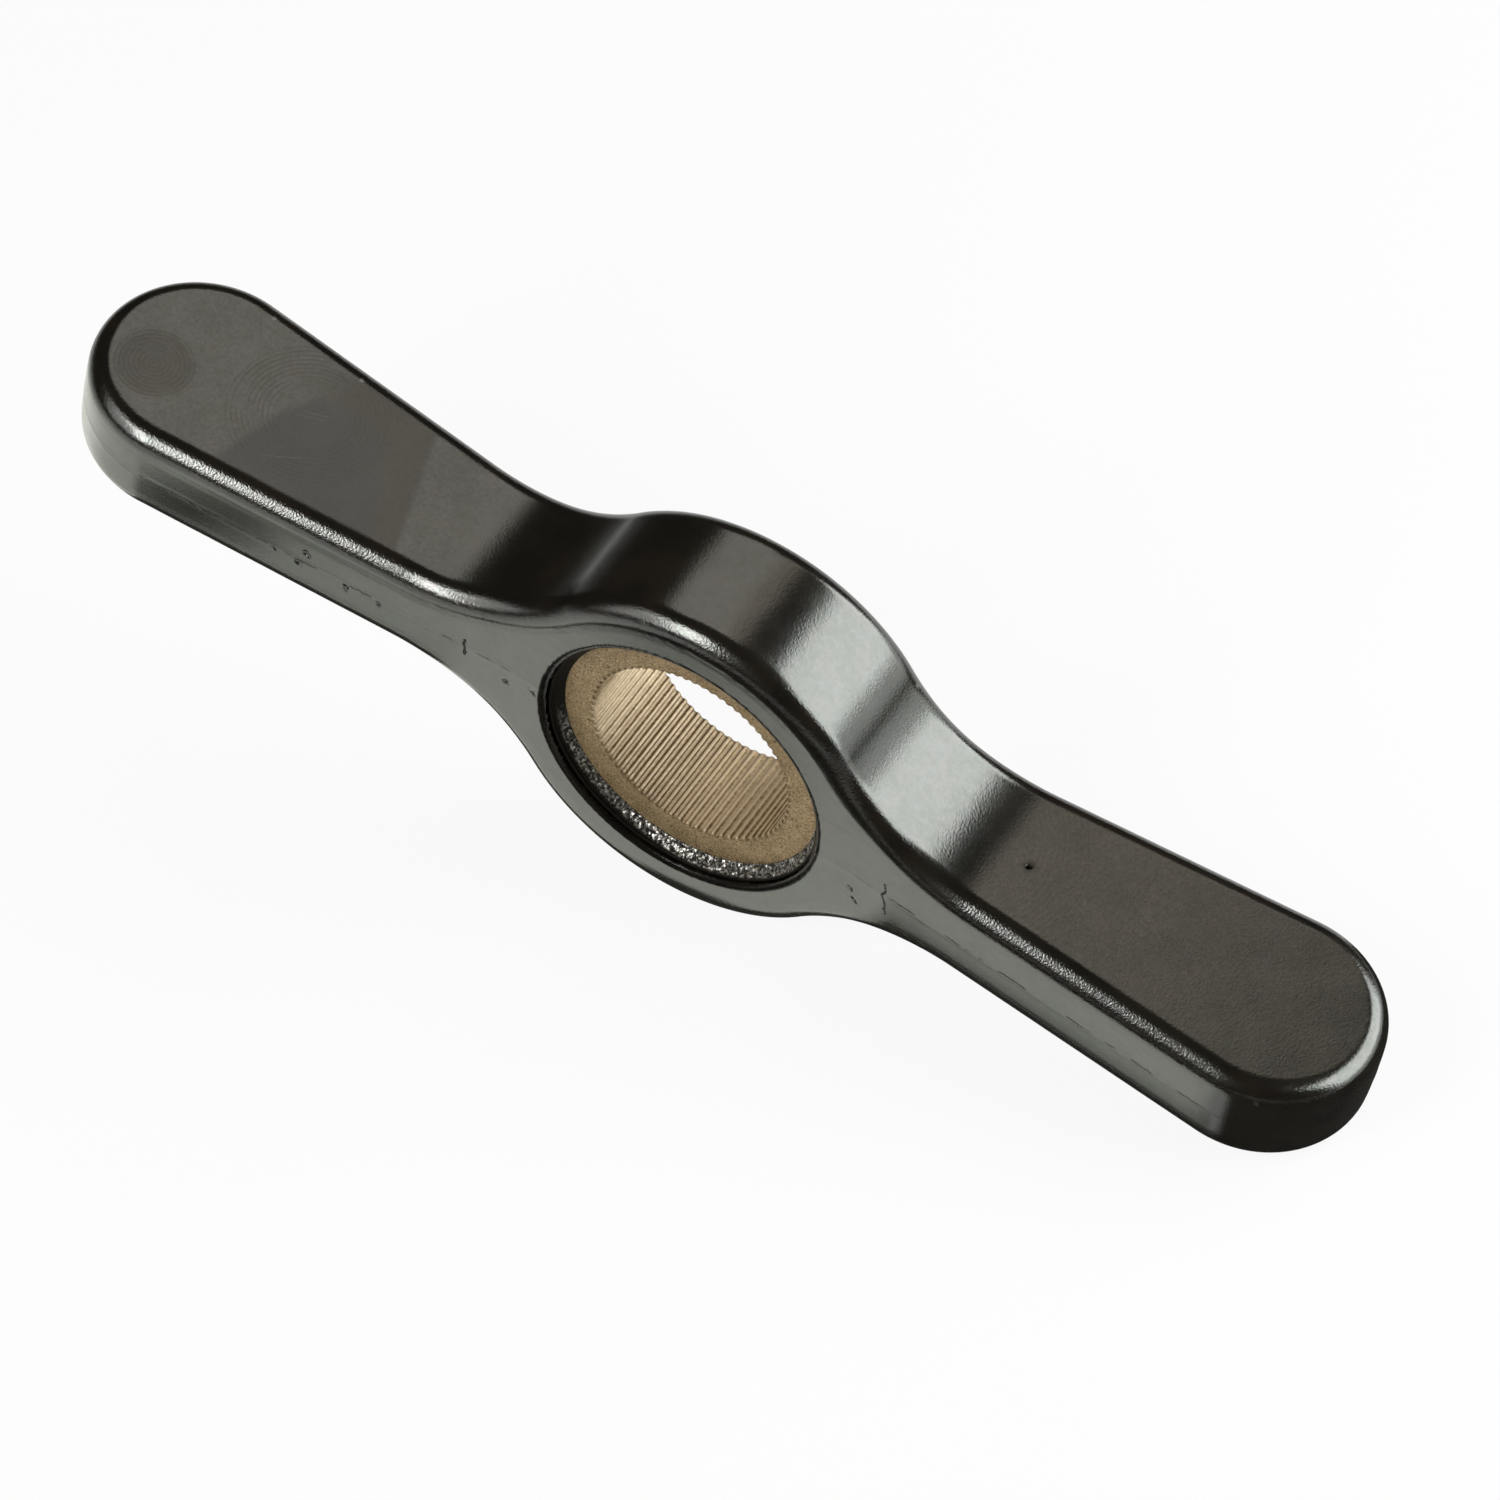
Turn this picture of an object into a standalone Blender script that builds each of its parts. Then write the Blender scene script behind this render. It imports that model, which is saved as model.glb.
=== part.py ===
"""Two-wing turning key: a die-cast handle with a serrated bush cast into its hub.

It is drawn with the bore along Y, the wings along X and their broad faces square to Z.
It is then turned about the bore to lie on its hub and the tip of its right wing.
The origin is on the bore axis, midway across the width of the wings.
"""
import math

import bmesh
import bpy

# Handle casting, in metres
OVERALL_LENGTH = 0.0755
TIP_WIDTH = 0.0118
WING_THICKNESS = 0.0060
HUB_WALL = 0.0015
HUB_LIP = 0.00095
LIP_OVERLAP = 0.00155
LIP_TAPER = 0.0004
HUB_FORWARD = 0.0004
HUB_BLEND_RADIUS = 0.0112
FLARE_BLEND_RADIUS = 0.030
EDGE_FILLET = 0.0010
MOUTH_CHAMFER = 0.00045
DRAFT_ANGLE = math.radians(0.75)

# Serrated bush, in metres
BUSH_DIAMETER = 0.0180
BUSH_LENGTH = 0.0059
BORE_DIAMETER = 0.0113
TOOTH_COUNT = 72
TOOTH_DEPTH = 0.00020
CREST_LAND = 0.00014
ROOT_LAND = 0.00016
RIM_LOBES = 8
RIM_LOBE_DEPTH = 0.0005

# Clearance that the bush keeps to its pocket all round
SEAT_GAP = 0.0003

# Surface finish: linear colour, roughness and metallic share
BLACK_COATING = ((0.012, 0.011, 0.009), 0.25, 0.0)
SINTERED_BRONZE = ((0.33, 0.21, 0.11), 0.55, 0.9)

# Angles that pick out edges to round and edges to shade sharp
FILLET_LIMIT = math.radians(45)
HANDLE_SHARP = math.radians(35)
BUSH_SHARP = math.radians(25)

# Steps along curves
HUB_STEPS = 28
BLEND_STEPS = 12
TIP_STEPS = 28
FLARE_STEPS = 4
FILLET_STEPS = 5
RIM_STEPS = 96

# Distance that cutters run past the surfaces they cut
CUTTER_REACH = 0.004

# Sizes that follow from the fits
BUSH_RADIUS = BUSH_DIAMETER / 2
LIP_RADIUS = BUSH_RADIUS - LIP_OVERLAP
MOUTH_RADIUS = LIP_RADIUS + LIP_TAPER
POCKET_HALF_LENGTH = BUSH_LENGTH / 2 + SEAT_GAP
HUB_HALF_WIDTH = POCKET_HALF_LENGTH + HUB_LIP
HUB_RADIUS = BUSH_RADIUS + SEAT_GAP + HUB_WALL
TIP_RADIUS = TIP_WIDTH / 2
TIP_CENTRE = OVERALL_LENGTH / 2 - TIP_RADIUS


def clear_scene():
    for item in list(bpy.data.objects):
        bpy.data.objects.remove(item, do_unlink=True)


def arc(centre, radius, start, end, steps):
    """Points of an arc from the start angle to the end angle, both included."""
    points = []
    for step in range(steps + 1):
        angle = start + (end - start) * step / steps
        points.append((centre[0] + radius * math.cos(angle), centre[1] + radius * math.sin(angle)))
    return points


def side_profile():
    """Outline across the bore: a round hub that sweeps through concave blends into two flat bars."""
    half = WING_THICKNESS / 2
    reach = OVERALL_LENGTH / 2 + CUTTER_REACH
    blend_height = half + HUB_BLEND_RADIUS
    blend_x = math.sqrt((HUB_RADIUS + HUB_BLEND_RADIUS) ** 2 - blend_height ** 2)
    joint = math.atan2(blend_height, blend_x)
    down = -math.pi / 2
    top = [(reach, half)]
    top += arc((blend_x, blend_height), HUB_BLEND_RADIUS, down, joint - math.pi, BLEND_STEPS)
    top += arc((0, 0), HUB_RADIUS, joint, math.pi - joint, HUB_STEPS)[1:]
    top += arc((-blend_x, blend_height), HUB_BLEND_RADIUS, -joint, down, BLEND_STEPS)[1:]
    top.append((-reach, half))
    return top + [(-x, -z) for x, z in top]


def flare_angle(half_width):
    """Slope of the straight wing edge that leaves the hub corner and is tangent to the round tip."""
    run = TIP_CENTRE - HUB_RADIUS
    span = math.hypot(run, half_width)
    return math.asin(TIP_RADIUS / span) - math.atan2(half_width, run)


def waist(half_width, slope):
    """Right half of one long edge in plan, from the tip end inwards, with the hub corner rounded."""
    corner_run = FLARE_BLEND_RADIUS * math.tan(abs(slope) / 2)
    bend = math.copysign(FLARE_BLEND_RADIUS, slope)
    centre = (HUB_RADIUS - corner_run, half_width + bend)
    down = -math.copysign(math.pi / 2, slope)
    return arc(centre, FLARE_BLEND_RADIUS, down + slope, down, FLARE_STEPS)


def plan_outline():
    """Outline seen along Z: a narrow hub, wings that flare outwards and full-round tips."""
    back = HUB_HALF_WIDTH - HUB_FORWARD
    front = HUB_HALF_WIDTH + HUB_FORWARD
    back_slope = flare_angle(back)
    front_slope = flare_angle(front)
    quarter = math.pi / 2
    tip = arc((TIP_CENTRE, 0), TIP_RADIUS, -quarter - front_slope, quarter + back_slope, TIP_STEPS)
    back_edge = waist(back, back_slope)
    front_edge = [(x, -y) for x, y in waist(front, front_slope)]
    right = front_edge[::-1] + tip + back_edge
    left = [(-x, y) for x, y in reversed(right)]
    return right + left


def inset(outline, distance):
    """Counter-clockwise outline moved inwards by the distance, edge by edge."""
    moved = []
    for index, (x, y) in enumerate(outline):
        before = outline[index - 1]
        after = outline[(index + 1) % len(outline)]
        angle_in = math.atan2(y - before[1], x - before[0])
        turn = math.remainder(math.atan2(after[1] - y, after[0] - x) - angle_in, 2 * math.pi)
        inward = angle_in + turn / 2 + math.pi / 2
        step = distance / math.cos(turn / 2)
        moved.append((x + step * math.cos(inward), y + step * math.sin(inward)))
    return moved


def loft(name, loops):
    """Closed mesh object through rings of equal length, with flat end caps."""
    mesh = bpy.data.meshes.new(name)
    shape = bmesh.new()
    rings = [[shape.verts.new(point) for point in loop] for loop in loops]
    count = len(rings[0])
    for lower, upper in zip(rings, rings[1:]):
        for index in range(count):
            following = (index + 1) % count
            shape.faces.new((lower[index], lower[following], upper[following], upper[index]))
    shape.faces.new(rings[0][::-1])
    shape.faces.new(rings[-1])
    bmesh.ops.recalc_face_normals(shape, faces=shape.faces)
    shape.to_mesh(mesh)
    shape.free()
    item = bpy.data.objects.new(name, mesh)
    bpy.context.collection.objects.link(item)
    return item


def ring(outline, y):
    """Places an outline of the XZ plane at a distance along the bore."""
    return [(x, y, z) for x, z in outline]


def hide_cutter(item):
    item.hide_render = True
    item.display_type = 'WIRE'
    return item


def cut(target, cutter, operation):
    boolean = target.modifiers.new(cutter.name, 'BOOLEAN')
    boolean.operation = operation
    boolean.object = cutter
    boolean.solver = 'EXACT'


def make_material(name, colour, roughness, metallic):
    material = bpy.data.materials.new(name)
    material.use_nodes = True
    shader = material.node_tree.nodes['Principled BSDF']
    shader.inputs['Base Color'].default_value = (*colour, 1.0)
    shader.inputs['Roughness'].default_value = roughness
    shader.inputs['Metallic'].default_value = metallic
    return material


def drafted_plan():
    """Cutter with the plan outline at the parting plane, drawn in with the draft above and below."""
    reach = HUB_RADIUS + CUTTER_REACH
    outline = plan_outline()
    narrowed = inset(outline, reach * math.tan(DRAFT_ANGLE))
    bottom = [(x, y, -reach) for x, y in narrowed]
    middle = [(x, y, 0.0) for x, y in outline]
    top = [(x, y, reach) for x, y in narrowed]
    return hide_cutter(loft('plan_cutter', [bottom, middle, top]))


def rim_outline(gap):
    """Lobed rim that keys the bush against turning, widened by a gap for its pocket."""
    points = []
    for step in range(RIM_STEPS):
        angle = 2 * math.pi * step / RIM_STEPS
        dip = RIM_LOBE_DEPTH * (1 - math.cos(RIM_LOBES * angle)) / 2
        radius = BUSH_RADIUS - dip + gap
        points.append((radius * math.cos(angle), radius * math.sin(angle)))
    return points


def pocket_cutter():
    outline = rim_outline(SEAT_GAP)
    ends = (-HUB_FORWARD - POCKET_HALF_LENGTH, -HUB_FORWARD + POCKET_HALF_LENGTH)
    return hide_cutter(loft('pocket_cutter', [ring(outline, y) for y in ends]))


def counterbore_cutter():
    """Through cutter that opens the bush to both sides, wider from the lips to the chamfered mouths."""
    mouth = HUB_HALF_WIDTH + CUTTER_REACH
    chamfer_start = HUB_HALF_WIDTH - MOUTH_CHAMFER
    flared = MOUTH_RADIUS + mouth - chamfer_start
    stations = [(-mouth, flared), (-chamfer_start, MOUTH_RADIUS), (-POCKET_HALF_LENGTH, LIP_RADIUS),
                (POCKET_HALF_LENGTH, LIP_RADIUS), (chamfer_start, MOUTH_RADIUS), (mouth, flared)]
    loops = []
    for y, radius in stations:
        circle = arc((0, 0), radius, 0.0, 2 * math.pi, RIM_STEPS)[:-1]
        loops.append(ring(circle, y - HUB_FORWARD))
    return hide_cutter(loft('counterbore_cutter', loops))


def bore_outline():
    """Fine serrations: straight-flanked teeth with flat lands at crest and root."""
    crest_radius = BORE_DIAMETER / 2
    root_radius = crest_radius + TOOTH_DEPTH
    crest_half = CREST_LAND / 2 / crest_radius
    root_half = ROOT_LAND / 2 / root_radius
    pitch = 2 * math.pi / TOOTH_COUNT
    points = []
    for tooth in range(TOOTH_COUNT):
        crest = tooth * pitch
        root = crest + pitch / 2
        corners = ((crest - crest_half, crest_radius), (crest + crest_half, crest_radius),
                   (root - root_half, root_radius), (root + root_half, root_radius))
        points += [(radius * math.cos(angle), radius * math.sin(angle)) for angle, radius in corners]
    return points


def smooth(item, angle):
    item.data.shade_smooth()
    item.data.set_sharp_from_angle(angle=angle)


def make_handle():
    """The casting: side profile and plan outline meet, edges are rounded, then the hub is opened."""
    outline = side_profile()
    handle = loft('handle_casting', [ring(outline, -TIP_WIDTH), ring(outline, TIP_WIDTH)])
    cut(handle, drafted_plan(), 'INTERSECT')
    fillet = handle.modifiers.new('edge_fillet', 'BEVEL')
    fillet.width = EDGE_FILLET
    fillet.segments = FILLET_STEPS
    fillet.limit_method = 'ANGLE'
    fillet.angle_limit = FILLET_LIMIT
    fillet.use_clamp_overlap = False
    cut(handle, pocket_cutter(), 'DIFFERENCE')
    cut(handle, counterbore_cutter(), 'DIFFERENCE')
    handle.data.materials.append(make_material('black_coating', *BLACK_COATING))
    smooth(handle, HANDLE_SHARP)


def make_bush():
    """The bush: a lobed disc with serrations broached through it."""
    rim = rim_outline(0.0)
    half = BUSH_LENGTH / 2
    bush = loft('splined_bush', [ring(rim, -half), ring(rim, half)])
    bush.location.y = -HUB_FORWARD
    teeth = bore_outline()
    reach = half + CUTTER_REACH
    broach = hide_cutter(loft('broach_cutter', [ring(teeth, -reach), ring(teeth, reach)]))
    broach.location = bush.location
    cut(bush, broach, 'DIFFERENCE')
    bush.data.materials.append(make_material('sintered_bronze', *SINTERED_BRONZE))
    smooth(bush, BUSH_SHARP)


def rest_tilt():
    """Turn about the bore that brings the hub and the fillet of one wing tip onto the same floor."""
    run = OVERALL_LENGTH / 2 - EDGE_FILLET
    rise = WING_THICKNESS / 2 - EDGE_FILLET
    return math.asin((HUB_RADIUS - EDGE_FILLET) / math.hypot(run, rise)) - math.atan2(rise, run)


def main():
    clear_scene()
    make_handle()
    make_bush()
    drawn = list(bpy.data.objects)
    key = bpy.data.objects.new('wing_key', None)
    bpy.context.collection.objects.link(key)
    for item in drawn:
        item.parent = key
    key.rotation_euler.y = rest_tilt()


main()
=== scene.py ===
"""Looks of a splined wing key: a black-coated casting around a serrated bronze bush, lying on a white floor."""

import itertools
import math

import bpy
import numpy as np
from mathutils import Matrix, Vector


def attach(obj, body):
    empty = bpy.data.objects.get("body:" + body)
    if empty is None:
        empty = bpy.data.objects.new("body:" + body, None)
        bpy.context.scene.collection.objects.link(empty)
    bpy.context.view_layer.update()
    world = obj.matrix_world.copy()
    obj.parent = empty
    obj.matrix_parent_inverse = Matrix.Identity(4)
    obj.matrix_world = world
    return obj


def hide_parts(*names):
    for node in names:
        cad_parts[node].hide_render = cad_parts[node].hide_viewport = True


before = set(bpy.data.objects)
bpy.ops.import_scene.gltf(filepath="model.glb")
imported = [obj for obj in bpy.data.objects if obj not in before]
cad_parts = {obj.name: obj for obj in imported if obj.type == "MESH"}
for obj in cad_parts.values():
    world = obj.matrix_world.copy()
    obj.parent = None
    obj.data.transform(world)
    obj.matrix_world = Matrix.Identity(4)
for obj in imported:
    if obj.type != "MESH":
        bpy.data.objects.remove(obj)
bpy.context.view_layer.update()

# Sizes of the key in its own frame, before it is tipped onto the floor, in millimetres
MM = 0.001
LENGTH = 75.5
THICKNESS = 6.0
HUB_RADIUS = 10.8
BLEND_RADIUS = 11.2
HUB_FRONT = 4.6
HUB_BACK = 3.8
TIP_RADIUS = 5.9
TIP_CENTRE = LENGTH / 2 - TIP_RADIUS
CORNER_RADIUS = 30.0
FILLET = 1.0
EDGE_ROUNDING = 1.25
DRAFT = math.tan(math.radians(0.75))
MOUTH_RADIUS = 7.85
MOUTH_ROUNDING = 0.45
BUSH_MIDDLE = -0.4
BUSH_HALF = 2.95
POCKET_RADIUS = 9.05
SKIN_DEPTH = 0.78
SKIN_SEAT = 7.95
CREST_RADIUS = 5.65
ROOT_RADIUS = 5.78
TEETH = 72
RIM_RADIUS = 8.95
RIM_LOBES = 8
RIM_LOBE_DEPTH = 0.5

BLEND_X = math.sqrt((HUB_RADIUS + BLEND_RADIUS) ** 2 - (THICKNESS / 2 + BLEND_RADIUS) ** 2)
BLEND_Z = THICKNESS / 2 + BLEND_RADIUS
BLEND_ANGLE = math.atan2(BLEND_Z, BLEND_X)
TIP_RUN = LENGTH / 2 - FILLET
TIP_RISE = THICKNESS / 2 - FILLET
REST_TILT = math.asin((HUB_RADIUS - FILLET) / math.hypot(TIP_RUN, TIP_RISE)) - math.atan2(TIP_RISE, TIP_RUN)
FLOOR_Z = -HUB_RADIUS

# Marks left by casting and use: places on the surface, in millimetres
PITS = [
    ((-21.92, -5.40, 0.75), 0.24), ((-22.26, -5.43, -0.23), 0.22), ((-23.78, -5.52, -0.20), 0.20),
    ((-19.57, -5.26, -0.38), 0.22), ((-17.61, -5.14, -0.23), 0.19), ((-10.07, -4.71, -1.06), 0.21),
    ((-8.57, -4.71, -0.61), 0.19), ((10.34, -4.71, -1.27), 0.22), ((10.82, -4.71, -1.94), 0.20),
    ((-14.6, 4.11, -0.9), 0.21), ((21.3, 4.97, 0.6), 0.21),
    ((6.4, 3.91, -9.1), 0.20), ((-25.2, 1.6, -3.12), 0.22), ((29.4, -2.1, -3.12), 0.20),
]
HOLE = ((17.84, -0.79, 3.0), (17.90, -0.75, 2.5))
HOLE_RADIUS = 0.10
PIN_MARK = (-33.92, -1.45)
PIN_RADIUS = 2.3

# How the cast surface departs from plain shapes, in millimetres
WAVINESS = 0.0012
PIN_DEPTH = 0.006
PIN_SOFTNESS = 0.25
SEAM_HEIGHT = 0.008
SEAM_WIDTH = 0.16
EDGE_STEP = 0.01
EDGE_STEP_RUN = 0.4
BUSH_PLAY = 0.03
SKIN_PLAY = 0.05

# How the casting is meshed: how far it stays inside the CAD model, step and margin in millimetres, and rounds
INSET = 0.025
MESH_STEP = 0.19
MESH_MARGIN = 0.5
GRADIENT_STEP = 0.012
LEAST_SLOPE = 0.3
PROJECT_ROUNDS = 2
RELAX_ROUNDS = 3
RELAX_SHARE = 0.6


def side_distance(x, z):
    """Distance to the outline seen along the bore: a round hub blended into a flat bar."""
    ax, az = np.abs(x), np.abs(z)
    wx, wz = ax - BLEND_X, az - BLEND_Z
    on_blend = math.sin(BLEND_ANGLE) * wx - math.cos(BLEND_ANGLE) * wz >= 0
    hub = np.hypot(ax, az) - HUB_RADIUS
    blend = BLEND_RADIUS - np.hypot(wx, wz)
    return np.where(wx > 0, az - THICKNESS / 2, np.where(on_blend, blend, hub))


STEEPEST_FLARE = 0.5
HALVINGS = 60


def flare_angle(half):
    """Slope of the straight edge that leaves the hub at this half width and touches the tip circle."""
    low, high = 0.0, STEEPEST_FLARE
    for _ in range(HALVINGS):
        middle = (low + high) / 2
        reach = half + (TIP_CENTRE - HUB_RADIUS) * math.tan(middle) - TIP_RADIUS / math.cos(middle)
        low, high = (middle, high) if reach < 0 else (low, middle)
    return low


def half_plan_distance(x, y, half):
    """Distance to one edge seen from above: straight hub, corner arc, straight flare and round tip."""
    slope = flare_angle(half)
    s, c = math.sin(slope), math.cos(slope)
    wx = x - (HUB_RADIUS - CORNER_RADIUS * math.tan(slope / 2))
    wy = y - (half + CORNER_RADIUS)
    arc = CORNER_RADIUS - np.hypot(wx, wy)
    flare = (y - half) * c - (x - HUB_RADIUS) * s
    edge = np.where(wx < 0, y - half, np.where(wx * c + wy * s <= 0, arc, flare))
    tip = np.hypot(x - TIP_CENTRE, y) - TIP_RADIUS
    return np.where((x - TIP_CENTRE) * c + y * s > 0, tip, edge)


def plan_distance(x, y):
    """Distance to the outline seen from above, whose hub reaches further to the front than to the back."""
    ax = np.abs(x)
    return np.where(y < 0, half_plan_distance(ax, -y, HUB_FRONT), half_plan_distance(ax, y, HUB_BACK))


def meet(a, b, radius):
    """Part common to two shapes, with its edge rounded."""
    a, b = a + radius, b + radius
    return np.minimum(np.maximum(a, b), 0) + np.hypot(np.maximum(a, 0), np.maximum(b, 0)) - radius


def ramp(value, start, stop):
    """Goes smoothly from 0 at start to 1 at stop."""
    t = np.clip((value - start) / (stop - start), 0, 1)
    return t * t * (3 - 2 * t)


def segment_distance(p, a, b):
    """Distance to the straight line between two points."""
    a, b = np.array(a), np.array(b)
    t = np.clip((p - a) @ (b - a) / ((b - a) @ (b - a)), 0, 1)
    return np.linalg.norm(p - a - t[..., None] * (b - a), axis=-1)


def casting_distance(p):
    """Distance to the surface of the casting, with the marks that are large enough to be modelled."""
    x, y, z = p[..., 0], p[..., 1], p[..., 2]
    side = side_distance(x, z)
    side = side + WAVINESS * (np.sin(1.9 * x + 0.6 * y) + np.sin(1.1 * x - 1.7 * y + 2.0))
    pin = np.hypot(x - PIN_MARK[0], y - PIN_MARK[1])
    sunk = PIN_DEPTH * ramp(pin, PIN_RADIUS + PIN_SOFTNESS, PIN_RADIUS - PIN_SOFTNESS)
    side = side + np.where(z > 0, sunk, 0)
    plan = plan_distance(x, y) + np.abs(z) * DRAFT
    plan = plan - SEAM_HEIGHT * np.exp(-(z / SEAM_WIDTH) ** 2)
    plan = plan + EDGE_STEP * ramp(side, -EDGE_ROUNDING - EDGE_STEP_RUN, -EDGE_ROUNDING)
    rho = np.hypot(x, z)
    depth = np.abs(y - BUSH_MIDDLE)
    d = meet(meet(side, plan, EDGE_ROUNDING), MOUTH_RADIUS - rho, MOUTH_ROUNDING)
    d = np.maximum(d, -np.maximum(rho - POCKET_RADIUS, depth - BUSH_HALF - BUSH_PLAY))
    d = np.maximum(d, -np.maximum(rho - SKIN_SEAT, depth - (BUSH_HALF + SKIN_DEPTH + SKIN_PLAY)))
    for centre, radius in PITS:
        d = np.maximum(d, radius - np.linalg.norm(p - np.array(centre), axis=-1))
    d = np.maximum(d, HOLE_RADIUS - segment_distance(p, *HOLE))
    return d + INSET


def gradient(distance, p):
    """Slope of a distance at each point."""
    g = np.empty(p.shape)
    for k in range(3):
        e = np.zeros(3)
        e[k] = GRADIENT_STEP
        g[..., k] = (distance(p + e) - distance(p - e)) / (2 * GRADIENT_STEP)
    return g


def project(distance, p):
    """Moves points onto the surface."""
    for _ in range(PROJECT_ROUNDS):
        g = gradient(distance, p)
        p = p - (distance(p) / np.maximum((g * g).sum(-1), LEAST_SLOPE))[:, None] * g
    return p


def surface_net(distance, low, high, step):
    """Quads that follow the zero of a distance over a box: one point for each cell that the surface crosses."""
    axes = [np.arange(a, b + step, step) for a, b in zip(low, high)]
    field = np.stack([distance(np.stack(np.meshgrid([x], axes[1], axes[2], indexing="ij"), -1)[0]) for x in axes[0]])
    inside = field < 0
    cells = np.array(field.shape) - 1
    filled = sum(inside[i:i + cells[0], j:j + cells[1], k:k + cells[2]].astype(np.int8)
                 for i, j, k in itertools.product((0, 1), repeat=3))
    active = np.argwhere((filled > 0) & (filled < 8))
    number = np.full(cells, -1)
    number[tuple(active.T)] = np.arange(len(active))
    total = np.zeros(active.shape)
    hits = np.zeros(len(active))
    for axis in range(3):
        unit = np.eye(3, dtype=int)[axis]
        for corner in itertools.product((0, 1), repeat=3):
            if corner[axis]:
                continue
            a = active + np.array(corner)
            fa, fb = field[tuple(a.T)], field[tuple((a + unit).T)]
            crossed = (fa < 0) != (fb < 0)
            t = fa[crossed] / (fa[crossed] - fb[crossed])
            total[crossed] += a[crossed] + t[:, None] * unit
            hits[crossed] += 1
    points = np.array(low) + total / hits[:, None] * step
    quads = []
    for axis in range(3):
        unit, u, v = (np.eye(3, dtype=int)[(axis + k) % 3] for k in range(3))
        ahead = np.roll(inside, -1, axis)
        edges = np.argwhere(inside != ahead)
        edges = edges[((edges >= 1) & (edges < cells)).all(1)]
        ring = np.stack([number[tuple((edges - s).T)] for s in (u + v, v, 0 * u, u)], 1)
        outward = inside[tuple(edges.T)]
        quads.append(np.where(outward[:, None], ring, ring[:, ::-1]))
    return points, np.concatenate(quads)


def relax(distance, points, quads, rounds):
    """Evens the quads out while their corners stay on the surface."""
    for _ in range(rounds):
        centres = points[quads].mean(1)
        share = np.bincount(quads.ravel(), minlength=len(points))
        mean = np.stack([np.bincount(quads.ravel(), np.repeat(centres[:, k], 4), len(points)) for k in range(3)], 1)
        points = project(distance, points + RELAX_SHARE * (mean / share[:, None] - points))
    return points


NOISE_TABLE = 4096
HASH = (73856093, 19349663, 83492791)


def lattice_noise(p, cell, seed):
    """Smooth noise from -1 to 1 with this cell size."""
    table = np.random.default_rng(seed).uniform(-1, 1, NOISE_TABLE)
    q = p / cell
    base = np.floor(q).astype(int)
    f = q - base
    f = f * f * (3 - 2 * f)
    total = np.zeros(p.shape[:-1])
    for corner in itertools.product((0, 1), repeat=3):
        k = base + np.array(corner)
        hashed = (k[..., 0] * HASH[0] ^ k[..., 1] * HASH[1] ^ k[..., 2] * HASH[2]) & (NOISE_TABLE - 1)
        weight = np.prod(np.where(np.array(corner) == 1, f, 1 - f), axis=-1)
        total += table[hashed] * weight
    return total


def spot_mark(points, spots, outer, inner):
    """1 in each spot and 0 away from it: the mark fades between these two shares of the spot's size."""
    mark = np.zeros(points.shape[:-1])
    for centre, size in spots:
        away = np.linalg.norm(points - np.array(centre), axis=-1)
        mark = np.maximum(mark, ramp(away, size * outer, size * inner))
    return mark


def tip_over(p):
    """Turns points or directions from the key's own frame into the row frame."""
    c, s = math.cos(REST_TILT), math.sin(REST_TILT)
    return np.stack([p[..., 0] * c + p[..., 2] * s, p[..., 1], -p[..., 0] * s + p[..., 2] * c], -1)


def add_piece(name, points, quads, material, node, marks, normals=None):
    """Makes a mesh piece from points in the key's own frame, puts it on the root body, and hides the CAD node that
    it stands for.
    """
    mesh = bpy.data.meshes.new(name)
    mesh.vertices.add(len(points))
    mesh.vertices.foreach_set("co", (tip_over(points) * MM).ravel())
    mesh.loops.add(quads.size)
    mesh.loops.foreach_set("vertex_index", quads.ravel().astype(np.int32))
    mesh.polygons.add(len(quads))
    mesh.polygons.foreach_set("loop_start", np.arange(0, quads.size, 4, dtype=np.int32))
    mesh.update(calc_edges=True)
    mesh.polygons.foreach_set("use_smooth", np.ones(len(quads), bool))
    if normals is not None:
        mesh.normals_split_custom_set_from_vertices(tip_over(normals).tolist())
    for mark, values in marks.items():
        mesh.attributes.new(mark, "FLOAT", "POINT").data.foreach_set("value", values.astype(np.float32))
    piece = bpy.data.objects.new(name, mesh)
    bpy.context.scene.collection.objects.link(piece)
    mesh.materials.append(material)
    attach(piece, "root")
    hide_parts(node)


def ring_quads(sections, around):
    """Quads of a closed ring whose points run first around the axis, then along its section."""
    i, j = np.meshgrid(np.arange(sections), np.arange(around), indexing="ij")
    i2, j2 = (i + 1) % sections, (j + 1) % around
    return np.stack([i * around + j, i * around + j2, i2 * around + j2, i2 * around + j], -1).reshape(-1, 4)


FAR = 100.0


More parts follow.
